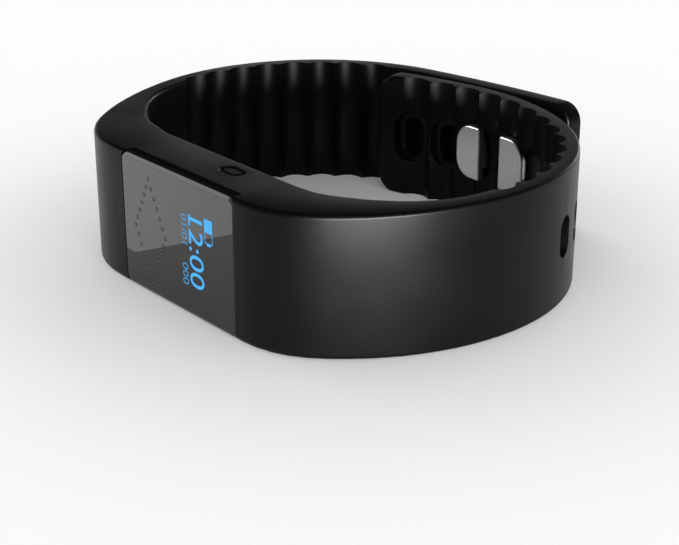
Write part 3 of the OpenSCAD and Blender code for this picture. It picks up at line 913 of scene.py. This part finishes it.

# a diamond of small dimples marks the touch key: each a dark ring round a light centre, the light
# centre a painted highlight
dimple = add_rod(0.27, 0.03, (0, 0, 0), axis="Y", sides=20)
edit(dimple, "FACE")
pick_faces(dimple, lambda c, n: n.y < -0.9)
bpy.ops.mesh.inset(thickness=0.13 * mm)
bpy.ops.transform.translate(value=(0, 0.008 * mm, 0))
done()
dimple.data.materials.append(DIMPLE_DARK)
dimple.data.materials.append(DIMPLE_PAINTED_HIGHLIGHT)
# the flat middle of each dimple takes the painted highlight
for face in dimple.data.polygons:
    at = face.center / mm
    if face.normal.y < -0.9 and at.x ** 2 + at.z ** 2 < 0.02:
        face.material_index = 1
DIAMOND_X, DIAMOND_Z = -6.6, 9.6
DIAMOND = [(0, 7.7), (3.75, 0), (0, -7.7), (-3.75, 0)]
PER_SIDE = 6
marks = []
for (x0, z0), (x1, z1) in zip(DIAMOND, DIAMOND[1:] + DIAMOND[:1]):
    for i in range(PER_SIDE):
        share = i / PER_SIDE
        x, z = on_lens(DIAMOND_X + x0 + (x1 - x0) * share, DIAMOND_Z + z0 + (z1 - z0) * share)
        mark = copy_of(dimple)
        mark.location = (x * mm, (FRONT - 0.004) * mm, z * mm)
        marks.append(settle(mark))
bpy.data.objects.remove(dimple, do_unlink=True)
marks = smooth(join(marks, "touch_dimples"), 30)
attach(marks, "module")


def lit_bar(x0, x1, z0, z1):
    """One lit bar of the readout."""
    (u0, v0), (u1, v1) = on_lens(x0, z0), on_lens(x1, z1)
    bar = add_block((u0, FRONT - 0.02, v0), (u1, FRONT + 0.02, v1))
    edit(bar, "EDGE")
    pick_edges(bar, lambda a, b, e: abs(a.y - b.y) > 0.02)
    round_edges(0.05, 2)
    done()
    return bar


def lit_text(words, x0, x1, z_from, z_to):
    """A line of the readout that runs down the lens, its letters' tops towards the hole strap."""
    clear_selection()
    bpy.ops.object.text_add(location=(0, 0, 0))
    text = bpy.context.object
    text.data.body = words
    text.data.extrude = 0.02 * mm
    text.data.offset = 0
    text.data.size = 1
    take(text)
    bpy.ops.object.convert(target="MESH")
    text = bpy.context.object
    low = [min(v.co[i] for v in text.data.vertices) for i in range(2)]
    high = [max(v.co[i] for v in text.data.vertices) for i in range(2)]
    edit(text)
    bpy.ops.mesh.select_all(action="SELECT")
    bpy.ops.mesh.remove_doubles(threshold=0.000001)
    bpy.ops.transform.translate(value=(-low[0], -low[1], 0))
    done()
    text.scale = ((z_from - z_to) * mm / (high[0] - low[0]),
                  (x1 - x0) * mm / (high[1] - low[1]), 1)
    settle(text)
    # written in X and Y: lay it upright, then turn it to run down the lens
    text.rotation_euler = (pi / 2, 0, 0)
    settle(text)
    text.rotation_euler = (0, pi / 2, 0)
    u, v = on_lens(x0, z_from)
    text.location = (u * mm, (FRONT - 0.002) * mm, v * mm)
    return settle(text)


# plain stand-in numbers, no words
time_row = lit_text("12:00", 3.0, 6.25, 14.7, 4.6)
date_row = join([lit_text("01/01", 1.25, 2.6, 14.7, 10.4),
                 lit_text("000", 1.25, 2.6, 7.6, 4.45)], "readout_date")
# the foot of the 1
foot = lit_bar(3.0, 3.35, 13.35, 15.0)
time_row = join([time_row, foot], "readout_time")
# the battery sign: its filled part, both sides, its end and its cap
battery = join([lit_bar(*bar) for bar in (
    (6.7, 8.5, 13.5, 15.4), (6.7, 6.8, 11.95, 13.6), (8.4, 8.5, 11.95, 13.6),
    (6.7, 8.5, 11.95, 12.07), (7.15, 8.05, 11.65, 12.0))], "readout_battery")
for piece, glow in ((time_row, GLOW), (date_row, GLOW_SMALL), (battery, GLOW)):
    finish_with(piece, glow)
    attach(piece, "module")

# ---------------------------------------------------------------- the side key
KEY_TOP = BAND_W - 0.08
key = key_block(1.7, 3.4, BAND_W - 1.15, KEY_TOP)
edit(key, "EDGE")
pick_edges(key, lambda a, b, e: min(a.z, b.z) > KEY_TOP - 0.02)
round_edges(0.3, 4)
done()
stem = add_rod(0.5, 2.4, (KEY_X, KEY_Y, BAND_W - 2.0), sides=24)
key = join([key, stem], "side_key_cap")
# from the flat band to its place in the worn band
key.location = ((PLAN_X - LENS_AT) * mm, PLAN_Y * mm, 0)
settle(key)
finish_with(soften_normals(smooth(key, 40)), SILICONE)
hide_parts("side_key")
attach(key, "key")

# ---------------------------------------------------------------- pieces carried over
CARRIED_OVER = {
    "frame_black": ["lens_frame"],
    "electrode": ["touch_electrode"],
    "display": ["display_panel"],
    "foam": ["display_pad", "motor_boot", "key_seal"],
    "flex_film": ["display_flex"],
    "core_plastic": ["core_housing", "rear_cover"],
    "seal": ["cover_seal"],
    "screw": ["cover_screws"],
    "gold": ["charge_contacts"],
    "board": ["main_board"],
    "chip": ["radio_chip", "memory_chip", "motion_sensor"],
    "crystal": ["clock_crystal"],
    "antenna": ["radio_antenna"],
    "battery": ["battery_cell"],
    "tape": ["battery_tape"],
    "nickel": ["battery_tabs"],
    "motor_steel": ["motor_can", "motor_shaft"],
    "tungsten": ["motor_weight"],
    "switch_plastic": ["switch_body", "switch_plunger"],
    "dome_metal": ["switch_dome"],
    "steel": ["clasp_plate"],
}
for finish_name, node_names in CARRIED_OVER.items():
    for node_name in node_names:
        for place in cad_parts[node_name].material_slots:
            place.material = FINISHES[finish_name]

# ---------------------------------------------------------------- floor, light and camera
clear_selection()
bpy.ops.mesh.primitive_plane_add(size=6, location=(0, 0, 0))
floor = bpy.context.object
floor.name = "floor"
paper = new_finish("floor_paper", (0.88, 0.88, 0.88), 0.8, Specular_IOR_Level=0.1)[0]
floor.data.materials.append(paper)

# a dome that is bright all round and darker overhead
world = bpy.data.worlds.new("studio")
bpy.context.scene.world = world
world.use_nodes = True
dome = world.node_tree
toward = dome.nodes.new("ShaderNodeTexCoord")
split = dome.nodes.new("ShaderNodeSeparateXYZ")
fade = dome.nodes.new("ShaderNodeMapRange")
fade.interpolation_type = "SMOOTHSTEP"
fade.inputs["From Min"].default_value = 0.34
fade.inputs["From Max"].default_value = 0.9
fade.inputs["To Min"].default_value = 2.65
fade.inputs["To Max"].default_value = 0.12
wire(dome, toward, "Generated", split, "Vector")
wire(dome, split, "Z", fade, "Value")
wire(dome, fade, 0, dome.nodes["Background"], "Strength")
dome.nodes["Background"].inputs["Color"].default_value = (1, 1, 1, 1)
world.cycles_visibility.glossy = False


def soft_card(name, azimuth, height, distance, width, tall, radiance, aim=(0, 0, 0.01)):
    """A soft light card that faces the band: where it stands, its size and how bright it is."""
    a, h = radians(azimuth), radians(height)
    place = Vector((cos(a) * cos(h), sin(a) * cos(h), sin(h))) * distance + Vector(aim)
    data = bpy.data.lights.new(name, "AREA")
    data.shape = "RECTANGLE"
    data.size, data.size_y = width, tall
    data.energy = radiance * pi * width * tall
    card = bpy.data.objects.new(name, data)
    bpy.context.collection.objects.link(card)
    card.location = place
    card.rotation_euler = (Vector(aim) - place).to_track_quat("-Z", "Y").to_euler()
    return card


def light_only(card, lit):
    """Keeps a card's light to some of the pieces."""
    group = bpy.data.collections.new(card.name + "_lights")
    for piece in lit:
        group.objects.link(piece)
    card.light_linking.receiver_collection = group


# the silicone takes its highlights from cards that light nothing else
silicones = [sleeve, buckle_strap, hole_strap, key]
for card in (soft_card("back_card", 169, 9, 0.9, 0.85, 0.24, 0.35),
             soft_card("back_fill_card", 125, 9, 0.9, 0.7, 0.24, 0.6),
             soft_card("right_back_card", 104, 10, 0.8, 0.3, 0.25, 3.6),
             soft_card("left_card", 208, 10, 0.8, 0.3, 0.25, 2.2)):
    light_only(card, silicones)
front_card = soft_card("front_card", -27, 2.4, 0.6, 0.44, 0.05, 280)
front_card.visible_diffuse = False
light_only(front_card, silicones)

# the bright rims of the lens and of the studs
edge_card = soft_card("edge_card", 214, 19, 0.8, 0.4, 0.6, 1.9)
light_only(edge_card, [lens])
glint_strip = soft_card("glint_strip", 208, 36, 0.8, 0.4, 0.35, 14)
light_only(glint_strip, studs)

# the sheen on the lens, whose sloping lower edge is the edge of a small near card
SHEEN_TURN = radians(-22.4)
sheen = soft_card("sheen_card", 0, 0, 1, 0.08, 0.04, 0.95)
sheen.location = ((PLAN_X - 16.1) * mm, (FRONT - 7) * mm, 24.1 * mm)
sheen.rotation_euler = (pi / 2, SHEEN_TURN, 0)
sheen.visible_camera = False
light_only(sheen, [lens])

# a faint card close to the studs, for their flat faces
GLINT_TURN = radians(-140)
glint = soft_card("stud_card", 0, 0, 1, 0.02, 0.02, 0.3)
stud_middle = (studs[0].data.vertices[0].co + studs[1].data.vertices[0].co) / 2
glint.location = stud_middle + Vector((cos(GLINT_TURN), sin(GLINT_TURN), -0.3)) * 0.02
glint.rotation_euler = (stud_middle - glint.location).to_track_quat("-Z", "Y").to_euler()
light_only(glint, studs)

# the camera stands in front, to the right and above
camera_data = bpy.data.cameras.new("camera")
camera_data.lens = 81.91
camera_data.sensor_width = 36
camera = bpy.data.objects.new("camera", camera_data)
bpy.context.collection.objects.link(camera)
camera.location = (0.16837, -0.14163, 0.0869)
look = Vector((-0.71133, 0.58955, -0.38268))
camera.rotation_euler = look.to_track_quat("-Z", "Y").to_euler()
bpy.context.scene.camera = camera
bpy.context.scene.view_settings.view_transform = "Standard"
